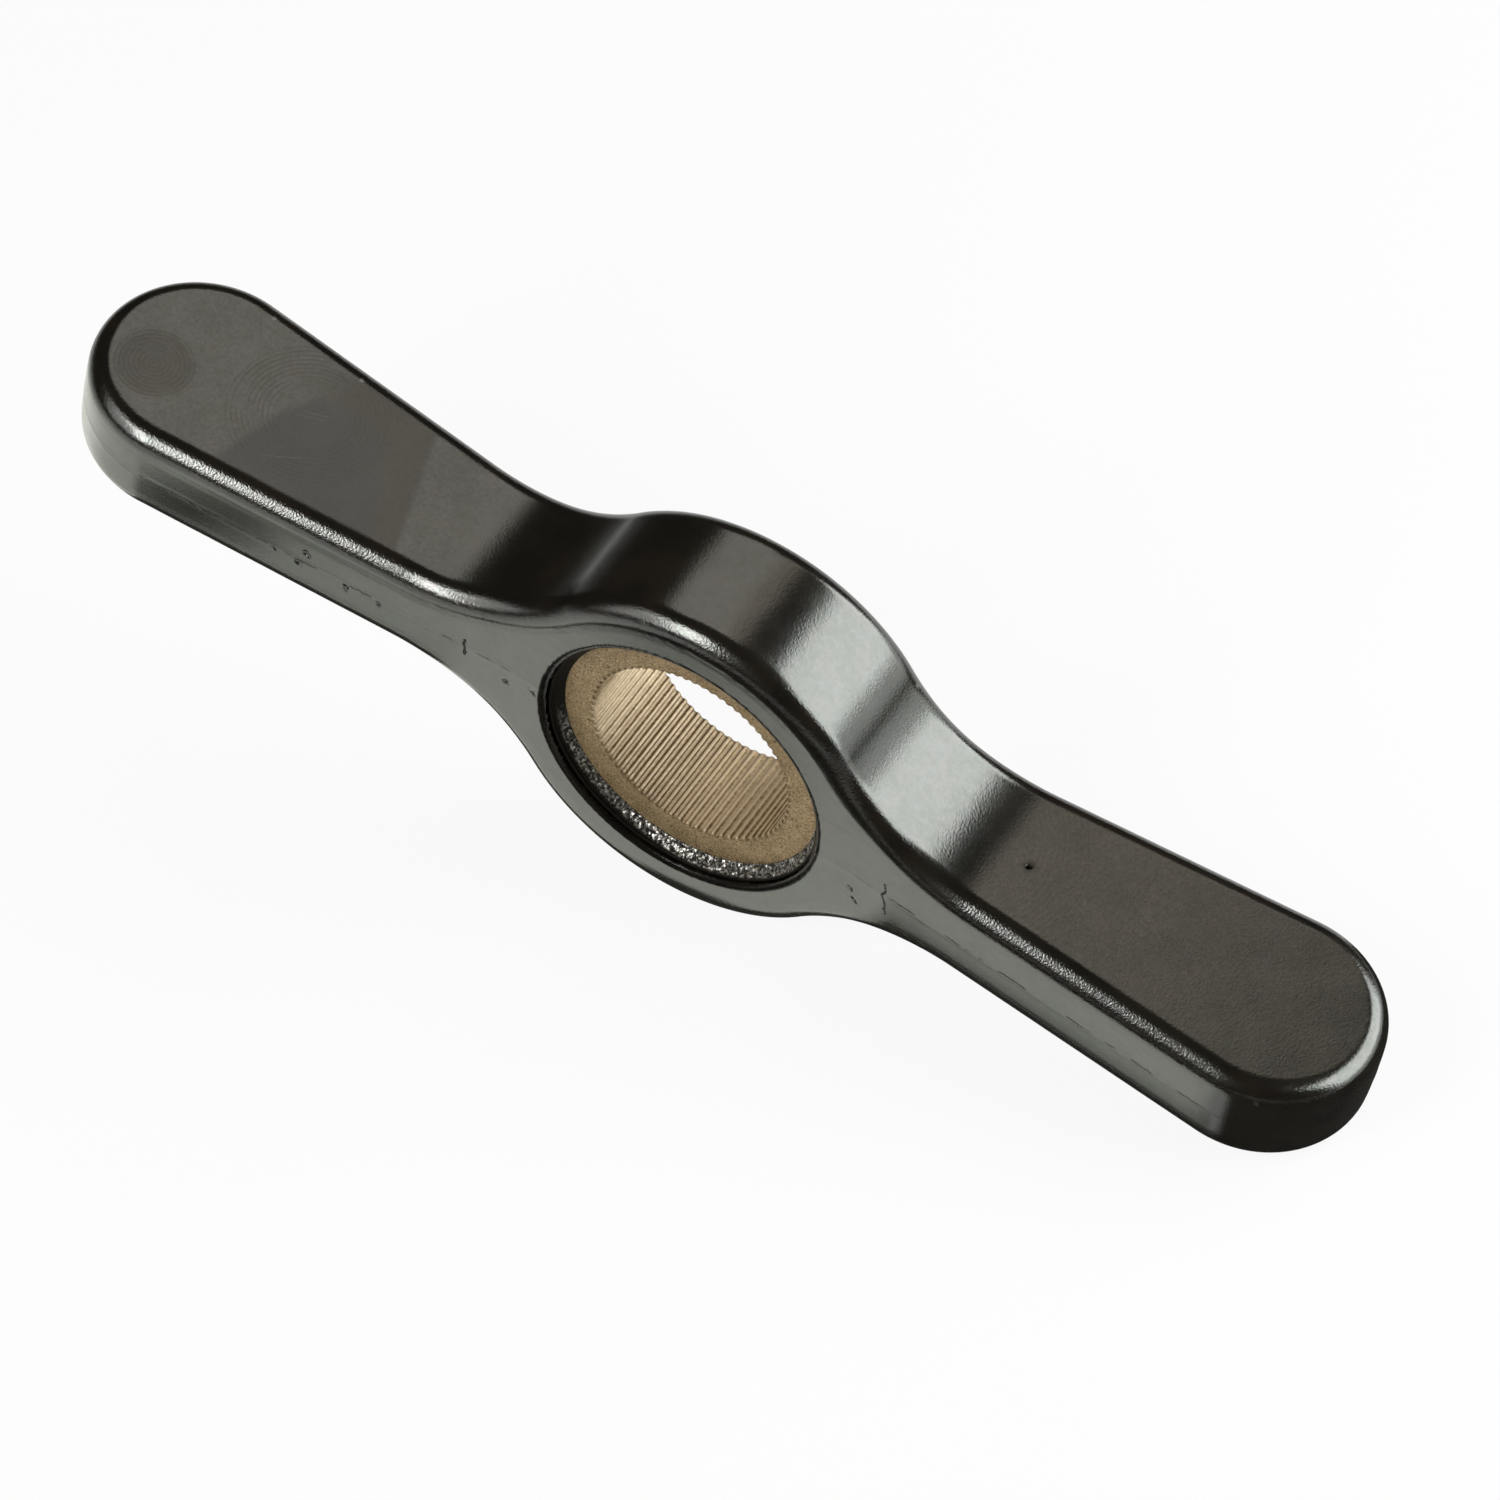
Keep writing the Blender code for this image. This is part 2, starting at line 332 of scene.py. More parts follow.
class Shader:
    """Builds a material's nodes. Places are in millimetres, and a mark runs from 0 to 1."""

    def __init__(self, name):
        self.material = bpy.data.materials.new(name)
        self.material.use_nodes = True
        self.tree = self.material.node_tree
        self.surface = self.tree.nodes["Principled BSDF"]

    def node(self, kind, settings=None, **inputs):
        """Adds a node. Inputs go by name, or by number as i0, i1 and so on."""
        n = self.tree.nodes.new(kind)
        for key, value in (settings or {}).items():
            setattr(n, key, value)
        for key, value in inputs.items():
            self.put(n.inputs[int(key[1:])] if key[0] == "i" and key[1:].isdigit() else n.inputs[key], value)
        return n

    def put(self, socket, value):
        """Links an output to an input, or sets the input to a plain value."""
        if isinstance(value, bpy.types.NodeSocket):
            self.tree.links.new(value, socket)
        else:
            socket.default_value = value

    def math(self, operation, a, b=0.0):
        return self.node("ShaderNodeMath", {"operation": operation}, i0=a, i1=b).outputs[0]

    def vector(self, operation, *parts):
        """Vector maths: a number from a length, a distance or a dot product, else a vector."""
        inputs = {f"i{k}": part for k, part in enumerate(parts)}
        outputs = self.node("ShaderNodeVectorMath", {"operation": operation}, **inputs).outputs
        return outputs["Value" if operation in ("LENGTH", "DISTANCE", "DOT_PRODUCT") else "Vector"]

    def own_frame(self):
        """Position in the key's own frame, in millimetres."""
        place = self.node("ShaderNodeTexCoord").outputs["Object"]
        return self.node("ShaderNodeMapping", {"vector_type": "POINT"}, Vector=place, Rotation=(0, -REST_TILT, 0),
                         Scale=(1 / MM,) * 3).outputs[0]

    def noise(self, place, scale, detail=2.0, roughness=0.5):
        return self.node("ShaderNodeTexNoise", Vector=place, Scale=scale, Detail=detail,
                         Roughness=roughness).outputs["Fac"]

    def range(self, value, low, high, to_low, to_high, smooth=False):
        settings = {"interpolation_type": "SMOOTHSTEP" if smooth else "LINEAR"}
        return self.node("ShaderNodeMapRange", settings, i0=value, i1=low, i2=high, i3=to_low, i4=to_high).outputs[0]

    def mix(self, share, a, b):
        n = self.node("ShaderNodeMix", {"data_type": "RGBA"})
        self.put(n.inputs[0], share)
        self.put(n.inputs[6], a if isinstance(a, bpy.types.NodeSocket) else (*a, 1))
        self.put(n.inputs[7], b if isinstance(b, bpy.types.NodeSocket) else (*b, 1))
        return n.outputs[2]

    def bump(self, height, distance, normal=None):
        n = self.node("ShaderNodeBump", Strength=1.0, Distance=distance, Height=height)
        if normal is not None:
            self.put(n.inputs["Normal"], normal)
        return n.outputs[0]

    def mark(self, name):
        return self.node("ShaderNodeAttribute", {"attribute_name": name}).outputs["Fac"]

    def both(self, a, b):
        """Product of two marks, or of a mark and a plain share."""
        return self.math("MULTIPLY", a, b)

    def band(self, value, start, full, fade, stop):
        """Goes smoothly from 0 at start to 1 at full, and from 1 at fade back to 0 at stop."""
        return self.both(self.range(value, start, full, 0, 1, True), self.range(value, fade, stop, 1, 0, True))

    def off_axis(self, place):
        """Distance from the axis of the bore."""
        return self.vector("LENGTH", self.vector("MULTIPLY", place, (1, 0, 1)))

    def circle_distance(self, place, centre):
        """Distance from a point, seen from above."""
        return self.vector("DISTANCE", self.vector("MULTIPLY", place, (1, 1, 0)), (*centre, 0))

    def outline_depth(self, place, outline):
        """How far each place lies inside a convex outline that is drawn anticlockwise."""
        depth = FAR
        for a, b in zip(outline, outline[1:] + outline[:1]):
            length = math.dist(a, b)
            inward = ((a[1] - b[1]) / length, (b[0] - a[0]) / length, 0)
            reach = self.vector("DOT_PRODUCT", place, inward)
            depth = self.math("MINIMUM", self.math("SUBTRACT", reach, inward[0] * a[0] + inward[1] * a[1]), depth)
        return depth

    def line(self, place, a, b, width, fade):
        """1 along a thin line, fading towards its sides and over this share of its ends."""
        middle = ((a[0] + b[0]) / 2, (a[1] + b[1]) / 2, 0)
        turn = (0, 0, math.atan2(b[1] - a[1], b[0] - a[0]))
        turned = self.node("ShaderNodeMapping", {"vector_type": "TEXTURE"}, Vector=place, Location=middle,
                           Rotation=turn, Scale=(math.dist(a, b) / 2, width, 1)).outputs[0]
        parts = self.node("ShaderNodeSeparateXYZ", Vector=turned).outputs
        along = self.range(self.math("ABSOLUTE", parts[0]), 1 - fade, 1.1, 1, 0, True)
        across = self.range(self.math("ABSOLUTE", parts[1]), 0, 1, 1, 0, True)
        return self.both(along, across)


# Rings that a cutter or a finger left on the wing tops: centre, where they start and stop, spacing, strength
TOP_RINGS = [
    (PIN_MARK, 0.0, 2.5, 0.25, 0.6), ((-25.7, 0.6), 1.9, 4.7, 0.27, 0.45), ((13.2, -1.2), 4.6, 8.0, 0.30, 0.22),
]
# Outlines on the left wing top of a patch that is rubbed dull and of a brown stain round it
RUBBED = [(-28.4, -4.6), (-19.0, -4.6), (-20.7, -0.5), (-21.6, 1.4), (-23.0, 2.1), (-26.0, 2.0), (-27.2, -0.2)]
STAINED = [(-30.0, -5.2), (-17.3, -5.2), (-20.0, 3.6), (-24.5, 4.2), (-30.0, 3.0)]
STAIN_START = (-28.0, -24.0)
# Fine scratches on the wing tops, from and to, in x and y
SCRATCHES = [
    ((-26.71, -3.17), (-24.31, -1.65)), ((-26.35, 0.56), (-24.70, 1.19)), ((-26.5, 0.2), (-24.9, 0.85)),
    ((-30.2, 2.9), (-28.9, 3.3)), ((24.2, -2.6), (26.9, -1.9)), ((30.1, 1.8), (31.3, 0.4)),
    ((19.4, 0.6), (21.0, 1.9)),
]
SCRATCH_WIDTH = 0.05
# Painted shade of a soft hollow round the pinhole in the right wing, from and to, in x and y
HOLLOW_SHADE_LINE = ((17.62, -1.12), (18.14, -0.32))
HOLLOW_SHADE_WIDTH = 0.50
# Cold shuts in the front edge face, from and to, in x and z
CRACKS = [
    ((-12.76, 0.55), (-12.66, 0.0)), ((-12.66, 0.0), (-12.58, -0.70)), ((12.12, 0.85), (12.30, 0.35)),
    ((12.30, 0.35), (12.12, -0.10)), ((12.12, -0.10), (12.42, -0.70)), ((12.42, -0.70), (12.56, -1.48)),
]
CRACK_WIDTH = 0.10
# Dark line along the parting seam: its width, and where it starts, by the distance from the middle of the hub
SEAM_MARK_WIDTH = 0.10
SEAM_START = (9.0, 9.6)
# Random shift of the cracks and the seam, in millimetres
WOBBLE = 0.3
# Height of the coating's grain and of its ripples and depth of its cracks, in metres
GRAIN_BUMP = 1.5e-5
RIPPLE_BUMP = 4.0e-6
CRACK_BUMP = 4.0e-5
COAT_ROUGHNESS = (0.155, 0.18)
COAT_IOR = 2.0
COAT_BLACK = (0.0050, 0.0043, 0.0034)
COAT_BROWN = (0.0105, 0.0085, 0.0060)
CRACK_BLACK = (0.002, 0.002, 0.002)
BARE_METAL = (0.34, 0.33, 0.31)
SHEEN_DULL = (0.87, 0.91, 0.84)
SHEEN_COOL = (0.97, 1.0, 0.96)
SHEEN_WARM = (1.0, 0.98, 0.93)


def black_coat():
    """Glossy black coating over die-cast metal: grain, rubbed marks, scratches, a seam, cracks, pits and chips, with
    painted shade in the pits, the pinhole's hollow and the counterbore's mouth.
    """
    s = Shader("black_coating")
    place = s.own_frame()
    x, y, z = s.node("ShaderNodeSeparateXYZ", Vector=place).outputs
    top = THICKNESS / 2
    on_top = s.both(s.range(z, top - 0.15, top - 0.05, 0, 1), s.range(z, top + 0.05, top + 0.15, 1, 0))
    on_front = s.range(y, 0.4 - HUB_FRONT, 0.2 - HUB_FRONT, 0, 1)
    lip = MOUTH_RADIUS + MOUTH_ROUNDING
    # Painted shade: inside the mouth of the counterbore the gloss is darkened nearly to black
    mouth_painted_shade = s.range(s.off_axis(place), lip + 0.04, lip - 0.03, 0, 0.95)
    broken = s.noise(place, 0.7, 2.0)

    rings = 0.0
    for centre, start, stop, spacing, strength in TOP_RINGS:
        away = s.circle_distance(place, centre)
        wave = s.range(s.math("SINE", s.math("MULTIPLY", away, 2 * math.pi / spacing)), -0.6, 1, 0, strength)
        rings = s.math("ADD", s.both(wave, s.band(away, start - 0.3, start + 0.3, stop - 0.5, stop)), rings)
    rings = s.both(s.both(rings, on_top), s.range(broken, 0.35, 0.55, 0.25, 1, True))
    disc = s.both(s.range(s.circle_distance(place, PIN_MARK), PIN_RADIUS - 0.6, PIN_RADIUS, 1, 0, True), on_top)
    rubbed = s.both(s.range(s.outline_depth(place, RUBBED), -0.25, 0.4, 0, 1, True), on_top)
    stained = s.both(s.range(s.outline_depth(place, STAINED), -0.2, 0.3, 0, 1, True), on_top)
    stained = s.both(stained, s.range(x, *STAIN_START, 0, 1, True))

    scratched = 0.0
    for a, b in SCRATCHES:
        scratched = s.math("MAXIMUM", s.line(place, a, b, SCRATCH_WIDTH, 0.4), scratched)
    scratched = s.both(s.both(scratched, on_top), s.range(s.noise(place, 3.0), 0.35, 0.55, 0.3, 1))
    wobble = s.node("ShaderNodeTexNoise", Vector=place, Scale=3.0, Detail=2.0).outputs["Color"]
    wobble = s.vector("MULTIPLY_ADD", wobble, (WOBBLE,) * 3, (-WOBBLE / 2,) * 3)
    edge_place = s.vector("ADD", wobble, s.node("ShaderNodeCombineXYZ", X=x, Y=z, Z=y).outputs[0])
    cracked = 0.0
    for a, b in CRACKS:
        cracked = s.math("MAXIMUM", s.line(edge_place, a, b, CRACK_WIDTH, 0.1), cracked)
    cracked = s.both(cracked, on_front)
    seam_height = s.node("ShaderNodeSeparateXYZ", Vector=edge_place).outputs[1]
    seam = s.range(s.math("ABSOLUTE", seam_height), 0.0, SEAM_MARK_WIDTH, 1, 0, True)
    seam = s.both(seam, s.range(broken, 0.44, 0.58, 0, 0.8, True))
    seam = s.both(seam, s.range(s.math("ABSOLUTE", x), *SEAM_START, 0, 1))

    centred = s.math("SUBTRACT", s.noise(place, 9.0, 2.0), 0.5)
    grain = s.both(centred, s.range(s.mark("rounded"), 0, 1, 0.3, 1))
    normal = s.bump(grain, GRAIN_BUMP)
    normal = s.bump(s.noise(place, 1.1, 2.0), RIPPLE_BUMP, normal)
    normal = s.bump(s.math("MAXIMUM", cracked, s.both(seam, 0.3)), -CRACK_BUMP, normal)
    s.put(s.surface.inputs["Normal"], normal)

    chip, pit_dulling_and_shade = s.mark("chip"), s.mark("pit_dulling_and_shade")
    rough = s.range(s.noise(place, 0.45, 3.0), 0.3, 0.7, *COAT_ROUGHNESS)
    for mark, amount in ((rubbed, 0.05), (disc, 0.03), (cracked, 0.25), (chip, 0.2), (pit_dulling_and_shade, 0.3)):
        rough = s.math("ADD", s.both(mark, amount), rough)
    s.put(s.surface.inputs["Roughness"], rough)

    tone = s.range(s.noise(place, 0.35, 4.0), 0.35, 0.65, 0, 1, True)
    colour = s.mix(tone, COAT_BLACK, COAT_BROWN)
    colour = s.mix(cracked, colour, CRACK_BLACK)
    colour = s.mix(chip, colour, BARE_METAL)
    s.put(s.surface.inputs["Base Color"], colour)
    s.put(s.surface.inputs["Metallic"], chip)
    s.put(s.surface.inputs["IOR"], COAT_IOR)

    mottle = s.range(s.math("ADD", s.noise(place, 0.6, 3.0), s.noise(place, 2.2, 2.0)), 0.80, 1.20, 0, 1)
    warm = s.range(s.noise(place, 1.4, 2.0), 0.4, 0.6, 0, 1, True)
    speckled = s.both(s.range(s.noise(place, 5.5, 2.0), 0.35, 0.75, 0, 0.42), s.range(rubbed, 0, 1, 1, 0.6))
    speckled = s.both(speckled, s.range(on_top, 0, 1, 0.35, 1))
    # Painted shade: a soft dark spot in the gloss round the pinhole in the right wing
    hollow_shade = s.both(s.line(place, *HOLLOW_SHADE_LINE, HOLLOW_SHADE_WIDTH, 0.8), on_top)
    sheen = s.mix(mottle, SHEEN_DULL, s.mix(warm, SHEEN_COOL, SHEEN_WARM))
    # Gloss colour under each mark; the hollow, pit and mouth marks darken it as painted shade
    shades = [
        (stained, (0.68, 0.665, 0.61)), (rubbed, (0.69, 0.70, 0.70)), (disc, (0.75, 0.75, 0.69)),
        (rings, (0.52, 0.52, 0.46)), (scratched, (1.0, 1.0, 0.98)), (speckled, (0.45, 0.46, 0.42)),
        (hollow_shade, (0.25, 0.25, 0.23)), (seam, (0.25, 0.25, 0.24)), (cracked, (0.08, 0.08, 0.08)),
        (pit_dulling_and_shade, (0.15, 0.15, 0.14)), (mouth_painted_shade, (0.04, 0.04, 0.04)),
    ]
    for mark, shade in shades:
        sheen = s.mix(mark, sheen, shade)
    s.put(s.surface.inputs["Specular Tint"], sheen)
    return s.material


SKIN_BLACK = (0.010, 0.009, 0.007)
SKIN_GRAIN = (0.44, 0.43, 0.39)
SKIN_ROUGHNESS = (0.50, 0.34)
SKIN_BUMP = 1.5e-5
SKIN_IOR = 1.15


def rough_skin():
    """Rough cast skin beside the bush: broken black coating over bright grains."""
    s = Shader("rough_cast_skin")
    place = s.own_frame()
    grains = s.noise(place, 5.6, 3.0, 0.6)
    bare = s.both(s.range(grains, 0.45, 0.60, 0.05, 1, True), s.mark("bare"))
    s.put(s.surface.inputs["Base Color"], s.mix(bare, SKIN_BLACK, SKIN_GRAIN))
    s.put(s.surface.inputs["Metallic"], bare)
    s.put(s.surface.inputs["Roughness"], s.range(bare, 0, 1, *SKIN_ROUGHNESS))
    s.put(s.surface.inputs["Normal"], s.bump(s.noise(place, 9.0, 2.0), SKIN_BUMP))
    s.put(s.surface.inputs["IOR"], SKIN_IOR)
    return s.material


# Sides of the bore with painted light and painted shade, a lighter side and a browner side: angles where each
# starts, is full, fades and stops
PAINTED_LIGHT_SIDE = (-3.13, -2.97, -2.70, -2.40)
PAINTED_LIGHT_SHARE = 0.40
PAINTED_SHADE_SIDE = (-2.60, -2.20, -2.00, -1.40)
PAINTED_SHADE_SHARE = 0.38
BRONZE_METALLIC = 0.55
BRONZE_ROUGHNESS = (0.42, 0.62)
BRONZE_BUMP = 1.6e-5
BRONZE_DARK = (0.305, 0.212, 0.106)
BRONZE_LIGHT = (0.405, 0.288, 0.153)
SPECK_DARK = (0.10, 0.068, 0.036)
SPECK_LIGHT = (0.60, 0.48, 0.32)
CREST_POLISH_AND_HIGHLIGHT = (0.74, 0.60, 0.42)
PAINTED_LIGHT_COLOUR = (0.96, 0.80, 0.57)
PAINTED_SHADE_BROWN = (0.06, 0.032, 0.010)
FLANK_PAINTED_SHADE = (0.11, 0.066, 0.030)
PORE_BLACK = (0.02, 0.014, 0.009)


def sintered_bronze():
    """Pressed and sintered bronze: pores, specks, crests lighter with polish and painted highlight, flanks with
    painted shade, a side of the bore with painted light and one with painted shade.
    """
    s = Shader("sintered_bronze")
    place = s.own_frame()
    x, _, z = s.node("ShaderNodeSeparateXYZ", Vector=place).outputs
    in_bore = s.range(s.off_axis(place), ROOT_RADIUS + 0.02, ROOT_RADIUS + 0.10, 1, 0)
    angle = s.math("ARCTAN2", z, x)
    # Painted light on one side of the bore and painted shade on another, set by the angle round the bore
    painted_light_side = s.both(s.both(s.band(angle, *PAINTED_LIGHT_SIDE), PAINTED_LIGHT_SHARE), in_bore)
    painted_shade_side = s.both(s.both(s.band(angle, *PAINTED_SHADE_SIDE), PAINTED_SHADE_SHARE), in_bore)
    speck = s.noise(place, 7.5, 3.0, 0.65)
    cloud = s.noise(place, 0.9, 3.0)
    # The crest mark makes the crests lighter, as polish and painted highlight, and the flanks darker, as painted
    # shade; it also darkens the teeth towards the bore's mouths and a ring round the bore on each face
    crest = s.mark("crest")
    colour = s.mix(s.range(cloud, 0.35, 0.65, 0, 1, True), BRONZE_DARK, BRONZE_LIGHT)
    colour = s.mix(s.range(speck, 0.50, 0.62, 0, 0.65, True), colour, SPECK_DARK)
    colour = s.mix(s.range(speck, 0.46, 0.36, 0, 0.55, True), colour, SPECK_LIGHT)
    colour = s.mix(s.range(crest, 0.55, 1.0, 0, 0.85, True), colour, CREST_POLISH_AND_HIGHLIGHT)
    colour = s.mix(painted_light_side, colour, PAINTED_LIGHT_COLOUR)
    colour = s.mix(painted_shade_side, colour, PAINTED_SHADE_BROWN)
    colour = s.mix(s.range(crest, 0.45, 0.0, 0, 0.85, True), colour, FLANK_PAINTED_SHADE)
    colour = s.mix(s.mark("pore"), colour, PORE_BLACK)
    s.put(s.surface.inputs["Base Color"], colour)
    s.put(s.surface.inputs["Metallic"], BRONZE_METALLIC)
    s.put(s.surface.inputs["Roughness"], s.range(speck, 0.3, 0.7, *BRONZE_ROUGHNESS))
    s.put(s.surface.inputs["Normal"], s.bump(speck, BRONZE_BUMP))
    return s.material


# Places where the coating is chipped through, with the size of each chip, in millimetres
CHIPS = [
    ((-30.58, 4.62, 3.0), 0.08), ((-24.85, 4.07, 3.0), 0.07), ((8.61, 2.76, 6.56), 0.09),
    ((33.91, -5.48, 2.17), 0.07), ((35.65, -3.95, 2.79), 0.09),
]
# How far from the middle the marks of chips and pits fade, as shares of their sizes
CHIP_FADE = (1.6, 0.8)
PIT_FADE = (1.15, 0.75)
# Where the casting counts as rounded, by how squarely its surface faces sideways or along the bore, and by how
# much its tops and rims count as rounded too
ROUNDED = (0.995, 0.95)
TOP_ROUNDED = 0.25
TOP_FACING = (0.9, 0.5)


def make_handle(material):
    """The whole casting apart from its rough skin, with marks where it is chipped, pitted and rounded."""
    low = (-LENGTH / 2 - MESH_MARGIN, -TIP_RADIUS - MESH_MARGIN, -HUB_RADIUS - MESH_MARGIN)
    high = tuple(-v for v in low)
    points, quads = surface_net(casting_distance, low, high, MESH_STEP)
    points = relax(casting_distance, project(casting_distance, points), quads, RELAX_ROUNDS)
    normals = gradient(casting_distance, points)
    normals /= np.maximum(np.linalg.norm(normals, axis=1, keepdims=True), 1e-6)
    flatness = np.maximum(np.abs(normals[:, 1]), np.hypot(normals[:, 0], normals[:, 2]))
    rounded = np.maximum(ramp(flatness, *ROUNDED), TOP_ROUNDED * ramp(np.abs(normals[:, 1]), *TOP_FACING))
    chip = spot_mark(points, CHIPS, *CHIP_FADE)
    # Mark of the pits: the coating is rougher there, and its gloss is darkened there as painted shade in each pit
    pit_dulling_and_shade = spot_mark(points, PITS, *PIT_FADE)
    add_piece("handle_casting_surface", points, quads, material, "handle_casting",
              {"chip": chip, "pit_dulling_and_shade": pit_dulling_and_shade, "rounded": rounded}, normals)


# Rough skin: points around and across it, its inner radius, a ridge at its outer edge and grains below that.
# Lengths are in millimetres, and places across the skin are shares of its depth
SKIN_AROUND = 1400
SKIN_ACROSS = 22
SKIN_INNER = 7.40
SKIN_STOP = 0.995
SEAT_GAP = 0.01
SLOPE_POWER = 1.2
RIDGE_HEIGHT = 0.06
RIDGE_PLACE = 0.06
GRAIN_DEPTH = 0.10
GRAIN_START = 0.36
GRAIN_WIDER = 0.30
GRAIN_RISE = 0.2
WAVE_DEPTH = 0.02
WAVE_SIZE = 0.7
# Shares and sizes of the coarse and the fine grains
GRAINS = [(0.7, 0.20), (0.4, 0.10)]
# Angles of the side where the skin is rough and of the side where its grains reach furthest out, and the cosines
# of the angle from each between which it fades in
ROUGH_SIDE = math.radians(285)
ROUGH_SPREAD = (-0.1, 0.5)
WIDE_SIDE = math.radians(318)
WIDE_SPREAD = (0.3, 0.95)
FRONT_SEED = 21
BACK_SEED = 31


def make_skin(name, face, out, material, seed):
    """Rough ring between the smooth mouth of a counterbore and the bush: a ridge, then a slope with grains."""
    t = np.linspace(0, 1, SKIN_ACROSS)
    depth = HUB_FRONT + BUSH_MIDDLE - BUSH_HALF
    y = face + out * (depth - SKIN_DEPTH) + out * SKIN_DEPTH * t * SKIN_STOP
    angle = np.linspace(0, 2 * math.pi, SKIN_AROUND, endpoint=False)
    ridge = RIDGE_HEIGHT * np.exp(-((t - RIDGE_PLACE) / RIDGE_PLACE) ** 2)
    slope = (MOUTH_RADIUS - SKIN_INNER) * t ** SLOPE_POWER
    inner = (MOUTH_RADIUS - ridge - slope)[:, None] + 0 * angle
    place = np.stack([MOUTH_RADIUS * np.cos(angle) + 0 * y[:, None], y[:, None] + 0 * angle,
                      MOUTH_RADIUS * np.sin(angle) + 0 * y[:, None]], -1)
    broken = ramp(np.cos(angle - ROUGH_SIDE), *ROUGH_SPREAD)
    start = GRAIN_START - GRAIN_WIDER * ramp(np.cos(angle - WIDE_SIDE), *WIDE_SPREAD)
    grainy = ramp(t[:, None], start, start + GRAIN_RISE) * ramp(t, 1.0, 0.9)[:, None] * broken
    rough = sum(share * lattice_noise(place, size, seed + k) for k, (share, size) in enumerate(GRAINS))
    inner = inner + GRAIN_DEPTH * grainy * rough + WAVE_DEPTH * lattice_noise(place, WAVE_SIZE, seed + len(GRAINS))
    outer = np.full((2, SKIN_AROUND), SKIN_SEAT - SEAT_GAP)
    radius = np.concatenate([inner, outer])
    height = np.concatenate([y, y[[-1, 0]]])[:, None] + 0 * angle
    points = np.stack([radius * np.cos(angle), height, radius * np.sin(angle)], -1).reshape(-1, 3)
    quads = ring_quads(SKIN_ACROSS + 2, SKIN_AROUND)
    if out < 0:
        quads = quads[:, ::-1]
    bare = ramp(t[:, None], start - 0.05, start + GRAIN_RISE) * broken
    bare = np.concatenate([bare, np.zeros((2, SKIN_AROUND))])
    add_piece(name, points, quads, material, "handle_casting", {"bare": bare.ravel()})


# Bush: points for each tooth, and rows along the bore and across each face
TOOTH_POINTS = 16
BORE_STATIONS = 28
FACE_STATIONS = 22
FACE_POWER = 1.3
BUSH_SEED = 11
# Where the flank of a tooth starts and stops, and the line of painted shade along it, as shares of a pitch from the
# crest
TOOTH_FLANK = (0.13, 0.36)
SHADED_FLANK_MIDDLE = 0.245
SHADED_FLANK_WIDTH = 0.075
# Flaws of the bush, in millimetres: uneven teeth, the flared mouths of the bore and the teeth broken down there,
# each with how far in it reaches, the grain of its surfaces and its pores
TOOTH_UNEVENNESS = 0.008
MOUTH_FLARE, MOUTH_REACH = 0.05, 0.03
BROKEN_SHARE, BROKEN_REACH = 0.4, 0.05
# How far in from the mouths of the bore the teeth grow darker
MOUTH_DARKENING_REACH = (0.14, -0.04)
BORE_GRAIN = 0.012
FACE_GRAIN = 0.02
FACE_RADII = (5.9, 6.1)
PORES = 26
PORE_DEPTH = 0.10
PORE_RADII = (6.0, 7.6)
PORE_SIZES = (0.04, 0.09)
PORE_FADE = (1.3, 0.5)


